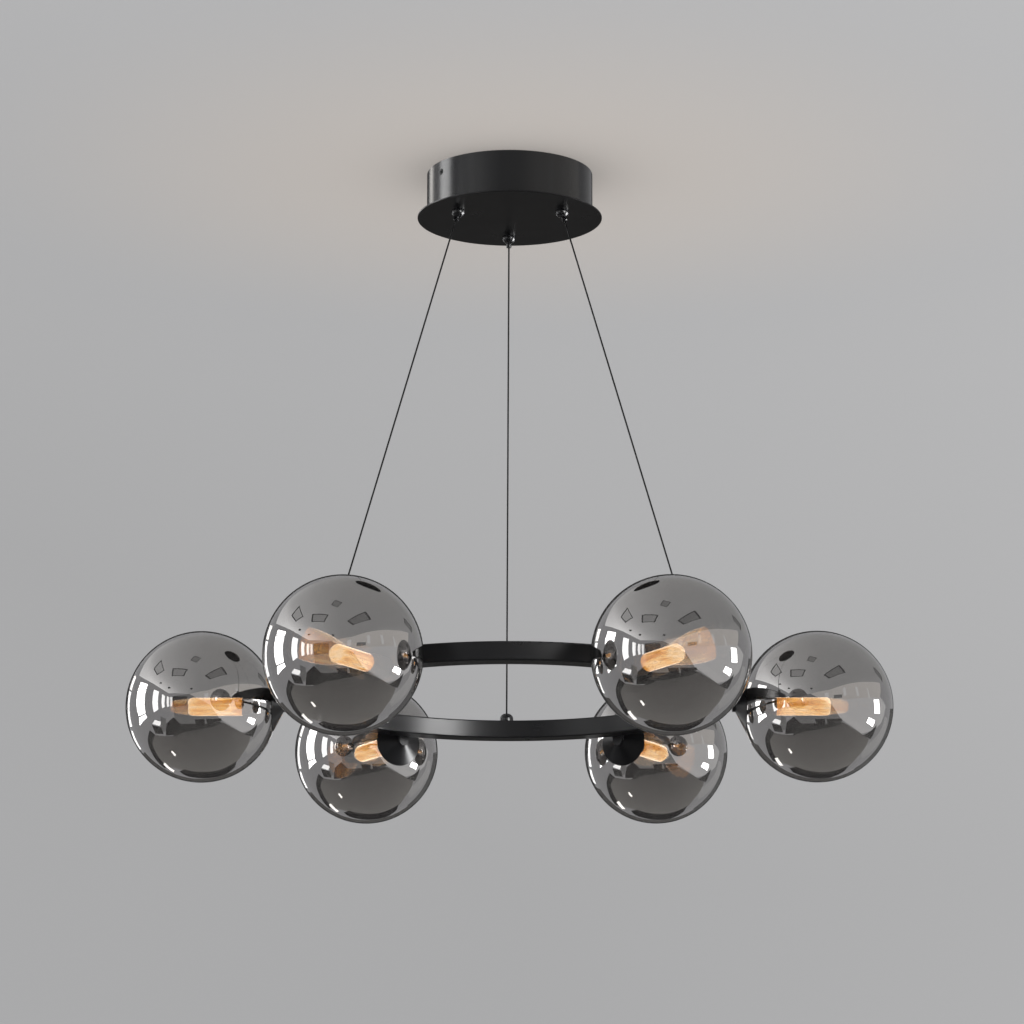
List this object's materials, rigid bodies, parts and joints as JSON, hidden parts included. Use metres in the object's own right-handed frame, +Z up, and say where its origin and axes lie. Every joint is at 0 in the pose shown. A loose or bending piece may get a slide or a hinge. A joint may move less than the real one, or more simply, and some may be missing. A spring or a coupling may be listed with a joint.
{
  "type": "chandelier",
  "caption": "Ceiling chandelier: black square-tube ring hung on splayed cables from a round canopy, with smoked glass globes on shallow cone caps round its rim.",
  "frame": {"origin": "centre of the canopy's contact face on the ceiling", "axes": "+Z up into the ceiling; +X through the middle of the first globe, along the slotted strap; the fitting hangs toward -Z"},
  "size_m": [0.7594, 0.6778, 0.625],
  "materials": {
    "black_metal": "black satin coat",
    "black_fastener": "black coat",
    "zinc_steel": "zinc plated",
    "steel_cable": "stranded steel in a dark clear sheath",
    "spring_steel": "plain wire",
    "brass_part": "plain",
    "smoked_glass": "polished smoked glass",
    "lamp_glass": "warm lit lamp glass",
    "lamp_base": "white ceramic",
    "holder_ceramic": "white ceramic",
    "block_plastic": "moulded",
    "lead_sleeve": "sleeved leads"
  },
  "bodies": {
    "canopy": {"ceiling_bracket": "zinc_steel", "canopy_can": "black_metal", "canopy_plate": "black_metal", "side_screws": "black_fastener", "earth_screw": "brass_part", "terminal_block": "block_plastic", "terminal_screws": "zinc_steel", "grip_bodies": "black_fastener", "grip_nuts": "zinc_steel", "plunger_spring_1": "spring_steel", "plunger_spring_2": "spring_steel", "plunger_spring_3": "spring_steel"},
    "ring": {"ring_tube": "black_metal", "ring_harness": "lead_sleeve", "dome_nuts": "black_fastener", "arm_lugs": "black_metal", "arm_nuts": "zinc_steel", "cap_1": "black_metal", "collar_1": "black_fastener", "lampholder_1": "holder_ceramic", "cap_2": "black_metal", "collar_2": "black_fastener", "lampholder_2": "holder_ceramic", "cap_3": "black_metal", "collar_3": "black_fastener", "lampholder_3": "holder_ceramic", "cap_4": "black_metal", "collar_4": "black_fastener", "lampholder_4": "holder_ceramic", "cap_5": "black_metal", "collar_5": "black_fastener", "lampholder_5": "holder_ceramic", "cap_6": "black_metal", "collar_6": "black_fastener", "lampholder_6": "holder_ceramic"},
    "cable_1": {"suspension_cable_1": "steel_cable"},
    "cable_2": {"suspension_cable_2": "steel_cable"},
    "cable_3": {"suspension_cable_3": "steel_cable"},
    "plunger_1": {"plunger_1": "black_fastener"},
    "plunger_2": {"plunger_2": "black_fastener"},
    "plunger_3": {"plunger_3": "black_fastener"},
    "globe_1": {"globe_1": "smoked_glass"},
    "lamp_1": {"lamp_glass_1": "lamp_glass", "lamp_base_1": "lamp_base"},
    "globe_2": {"globe_2": "smoked_glass"},
    "lamp_2": {"lamp_glass_2": "lamp_glass", "lamp_base_2": "lamp_base"},
    "globe_3": {"globe_3": "smoked_glass"},
    "lamp_3": {"lamp_glass_3": "lamp_glass", "lamp_base_3": "lamp_base"},
    "globe_4": {"globe_4": "smoked_glass"},
    "lamp_4": {"lamp_glass_4": "lamp_glass", "lamp_base_4": "lamp_base"},
    "globe_5": {"globe_5": "smoked_glass"},
    "lamp_5": {"lamp_glass_5": "lamp_glass", "lamp_base_5": "lamp_base"},
    "globe_6": {"globe_6": "smoked_glass"},
    "lamp_6": {"lamp_glass_6": "lamp_glass", "lamp_base_6": "lamp_base"}
  },
  "joints": [
    {"name": "ring_height", "type": "slide", "parent": "canopy", "child": "ring", "axis": [0, 0, 1], "range_m": [0, 0.025]},
    {"name": "cable_1_lean", "type": "hinge", "parent": "ring", "child": "cable_1", "pos_m": [-0.00439, 0.20945, -0.5237], "axis": [0.9998, 0.0209, 0], "range_deg": [0, 1]},
    {"name": "cable_2_lean", "type": "hinge", "parent": "ring", "child": "cable_2", "pos_m": [-0.1792, -0.10853, -0.5237], "axis": [-0.518, 0.8554, 0], "range_deg": [0, 1]},
    {"name": "cable_3_lean", "type": "hinge", "parent": "ring", "child": "cable_3", "pos_m": [0.18359, -0.10093, -0.5237], "axis": [-0.4818, -0.8763, 0], "range_deg": [0, 1]},
    {"name": "plunger_1_push", "type": "slide", "parent": "canopy", "child": "plunger_1", "axis": [0.0063, -0.2987, 0.9543], "range_m": [0, 0.0025], "stiffness_N_per_m": 400, "springref_m": -0.002, "deforming": ["plunger_spring_1"]},
    {"name": "plunger_2_push", "type": "slide", "parent": "canopy", "child": "plunger_2", "axis": [0.2556, 0.1548, 0.9543], "range_m": [0, 0.0025], "stiffness_N_per_m": 400, "springref_m": -0.002, "deforming": ["plunger_spring_2"]},
    {"name": "plunger_3_push", "type": "slide", "parent": "canopy", "child": "plunger_3", "axis": [-0.2618, 0.1439, 0.9543], "range_m": [0, 0.0025], "stiffness_N_per_m": 400, "springref_m": -0.002, "deforming": ["plunger_spring_3"]},
    {"name": "globe_1_off", "type": "slide", "parent": "ring", "child": "globe_1", "axis": [1, 0, 0], "range_m": [0, 0.09]},
    {"name": "lamp_1_out", "type": "slide", "parent": "ring", "child": "lamp_1", "axis": [1, 0, 0], "range_m": [0, 0.015]},
    {"name": "globe_2_off", "type": "slide", "parent": "ring", "child": "globe_2", "axis": [0.5, 0.866, 0], "range_m": [0, 0.09]},
    {"name": "lamp_2_out", "type": "slide", "parent": "ring", "child": "lamp_2", "axis": [0.5, 0.866, 0], "range_m": [0, 0.015]},
    {"name": "globe_3_off", "type": "slide", "parent": "ring", "child": "globe_3", "axis": [-0.5, 0.866, 0], "range_m": [0, 0.09]},
    {"name": "lamp_3_out", "type": "slide", "parent": "ring", "child": "lamp_3", "axis": [-0.5, 0.866, 0], "range_m": [0, 0.015]},
    {"name": "globe_4_off", "type": "slide", "parent": "ring", "child": "globe_4", "axis": [-1, 0, 0], "range_m": [0, 0.09]},
    {"name": "lamp_4_out", "type": "slide", "parent": "ring", "child": "lamp_4", "axis": [-1, 0, 0], "range_m": [0, 0.015]},
    {"name": "globe_5_off", "type": "slide", "parent": "ring", "child": "globe_5", "axis": [-0.5, -0.866, 0], "range_m": [0, 0.09]},
    {"name": "lamp_5_out", "type": "slide", "parent": "ring", "child": "lamp_5", "axis": [-0.5, -0.866, 0], "range_m": [0, 0.015]},
    {"name": "globe_6_off", "type": "slide", "parent": "ring", "child": "globe_6", "axis": [0.5, -0.866, 0], "range_m": [0, 0.09]},
    {"name": "lamp_6_out", "type": "slide", "parent": "ring", "child": "lamp_6", "axis": [0.5, -0.866, 0], "range_m": [0, 0.015]}
  ],
  "couplings": [
    {"joint": "cable_1_lean", "follows": "ring_height", "rad_per_m": 0.6292},
    {"joint": "cable_2_lean", "follows": "ring_height", "rad_per_m": 0.6292},
    {"joint": "cable_3_lean", "follows": "ring_height", "rad_per_m": 0.6292}
  ]
}
